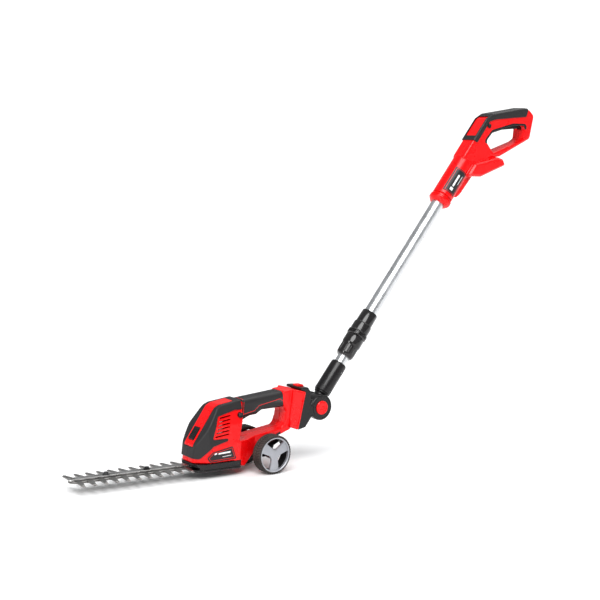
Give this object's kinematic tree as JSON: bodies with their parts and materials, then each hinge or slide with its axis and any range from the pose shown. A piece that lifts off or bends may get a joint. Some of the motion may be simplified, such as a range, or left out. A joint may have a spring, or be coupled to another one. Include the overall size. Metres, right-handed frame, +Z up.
{
  "type": "cordless pole hedge trimmer",
  "caption": "Cordless trimmer with a double-sided blade, its own grip, a wheeled base and a tilting telescopic pole with a D-shaped upper handle.",
  "frame": {"origin": "centre of the trimmer's own hand grip, on the tool's middle plane", "axes": "+X from the blade tip towards the pole, +Y to the tool's right, +Z up with the tool on its wheels and the blade level"},
  "size_m": [0.9943, 0.104, 0.6582],
  "materials": {
    "red_plastic": "satin",
    "soft_grip": "matt",
    "black_plastic": "gloss",
    "silver_plastic": "silver paint",
    "tyre_rubber": "matt",
    "aluminium": "satin",
    "steel": "satin",
    "brass": "machined",
    "label_film": "printed film"
  },
  "bodies": {
    "head": {"casing_left": "red_plastic", "casing_right": "red_plastic", "soft_panel_left": "soft_grip", "soft_panel_right": "soft_grip", "nose_strip": "red_plastic", "grip_cover_left": "soft_grip", "grip_cover_right": "soft_grip", "name_plate_left": "label_film", "name_plate_right": "label_film", "main_switch": "black_plastic", "contact_block": "black_plastic", "gearbox_plate": "aluminium", "drive_motor": "steel", "blade_unit_base": "black_plastic", "blade_unit_cover": "black_plastic", "blade_guide": "steel", "blade_bolt_1": "steel", "blade_bolt_2": "steel", "wheel_carrier": "black_plastic", "wheel_axle": "steel", "axle_clip_left": "steel", "axle_clip_right": "steel", "pole_adapter": "black_plastic", "adapter_contacts": "brass", "latch_spring": "steel", "tilt_pin": "steel", "tilt_button_spring": "steel"},
    "wheel_left": {"tyre_left": "tyre_rubber", "wheel_left": "silver_plastic"},
    "wheel_right": {"tyre_right": "tyre_rubber", "wheel_right": "silver_plastic"},
    "drive_gear": {"drive_gear": "brass"},
    "motor_pinion": {"motor_pinion": "steel"},
    "crank_hub": {"crank_hub": "steel"},
    "upper_blade": {"upper_blade": "steel"},
    "lower_blade": {"lower_blade": "steel"},
    "blade_release_button": {"blade_release_button": "black_plastic"},
    "trimmer_trigger": {"trimmer_trigger": "soft_grip"},
    "lockoff_pin": {"lockoff_pin": "black_plastic"},
    "adapter_latch": {"adapter_latch": "red_plastic"},
    "tilt_button": {"tilt_button": "red_plastic"},
    "lower_pole": {"tilt_knuckle": "black_plastic", "pole_sleeve": "black_plastic", "sleeve_screw_1": "steel", "sleeve_screw_2": "steel", "inner_tube": "aluminium"},
    "upper_pole": {"lock_body": "black_plastic", "lock_collet": "black_plastic", "outer_tube": "aluminium", "handle_collar": "red_plastic", "handle_left": "red_plastic", "handle_right": "red_plastic", "handle_saddle": "soft_grip", "handle_label": "label_film", "handle_circuit_board": "label_film", "battery_rail": "black_plastic", "battery_terminals": "brass"},
    "lock_nut": {"lock_nut": "black_plastic"},
    "handle_trigger": {"handle_trigger": "black_plastic"},
    "handle_lockoff_pin": {"handle_lockoff_pin": "black_plastic"}
  },
  "joints": [
    {"name": "wheel_left_spin", "type": "hinge", "parent": "head", "child": "wheel_left", "pos_m": [0.002, -0.041, -0.084], "axis": [0, 1, 0], "continuous": true},
    {"name": "wheel_right_spin", "type": "hinge", "parent": "head", "child": "wheel_right", "pos_m": [0.002, 0.041, -0.084], "axis": [0, 1, 0], "continuous": true},
    {"name": "drive_gear_spin", "type": "hinge", "parent": "head", "child": "drive_gear", "pos_m": [-0.11, 0, -0.073], "axis": [0, 0, 1], "continuous": true},
    {"name": "motor_pinion_spin", "type": "hinge", "parent": "head", "child": "motor_pinion", "pos_m": [-0.086, 0, -0.073], "axis": [0, 0, 1], "continuous": true},
    {"name": "crank_spin", "type": "hinge", "parent": "head", "child": "crank_hub", "pos_m": [-0.11, 0, -0.098], "axis": [0, 0, 1], "continuous": true},
    {"name": "upper_blade_slide", "type": "slide", "parent": "head", "child": "upper_blade", "axis": [1, 0, 0], "range_m": [0, 0.008]},
    {"name": "lower_blade_slide", "type": "slide", "parent": "head", "child": "lower_blade", "axis": [1, 0, 0], "range_m": [-0.008, 0]},
    {"name": "blade_release_press", "type": "slide", "parent": "head", "child": "blade_release_button", "axis": [0.8166, 0, -0.5772], "range_m": [0, 0.003], "stiffness_N_per_m": 800, "springref_m": -0.001},
    {"name": "trimmer_trigger_pull", "type": "hinge", "parent": "head", "child": "trimmer_trigger", "pos_m": [-0.01, 0, -0.012], "axis": [0, 1, 0], "range_deg": [0, 8], "stiffness_Nm_per_rad": 1.5, "springref_deg": -5.73},
    {"name": "lockoff_press", "type": "slide", "parent": "head", "child": "lockoff_pin", "axis": [0, 1, 0], "range_m": [-0.003, 0.003], "stiffness_N_per_m": 600},
    {"name": "adapter_latch_press", "type": "slide", "parent": "head", "child": "adapter_latch", "axis": [0, 0, -1], "range_m": [0, 0.002], "stiffness_N_per_m": 1500, "springref_m": -0.001},
    {"name": "tilt_button_press", "type": "slide", "parent": "head", "child": "tilt_button", "axis": [0, 1, 0], "range_m": [0, 0.004], "stiffness_N_per_m": 1500, "springref_m": -0.001},
    {"name": "pole_tilt", "type": "hinge", "parent": "head", "child": "lower_pole", "pos_m": [0.121, 0, -0.017], "axis": [0, 1, 0], "range_deg": [-35, 45]},
    {"name": "pole_extend", "type": "slide", "parent": "lower_pole", "child": "upper_pole", "axis": [0.6018, 0, 0.7986], "range_m": [0, 0.2]},
    {"name": "lock_nut_turn", "type": "hinge", "parent": "upper_pole", "child": "lock_nut", "pos_m": [0.19743, 0, 0.08443], "axis": [0.6018, 0, 0.7986], "range_deg": [0, 90]},
    {"name": "handle_trigger_pull", "type": "hinge", "parent": "upper_pole", "child": "handle_trigger", "pos_m": [0.60917, 0, 0.50453], "axis": [0, 1, 0], "range_deg": [0, 4], "stiffness_Nm_per_rad": 6, "springref_deg": -3.44},
    {"name": "handle_lockoff_press", "type": "slide", "parent": "upper_pole", "child": "handle_lockoff_pin", "axis": [0, 1, 0], "range_m": [-0.002, 0.002], "stiffness_N_per_m": 600}
  ],
  "couplings": [
    {"joint": "motor_pinion_spin", "follows": "drive_gear_spin", "ratio": -3.8},
    {"joint": "crank_spin", "follows": "drive_gear_spin", "ratio": 1},
    {"joint": "lower_blade_slide", "follows": "upper_blade_slide", "ratio": -1}
  ]
}
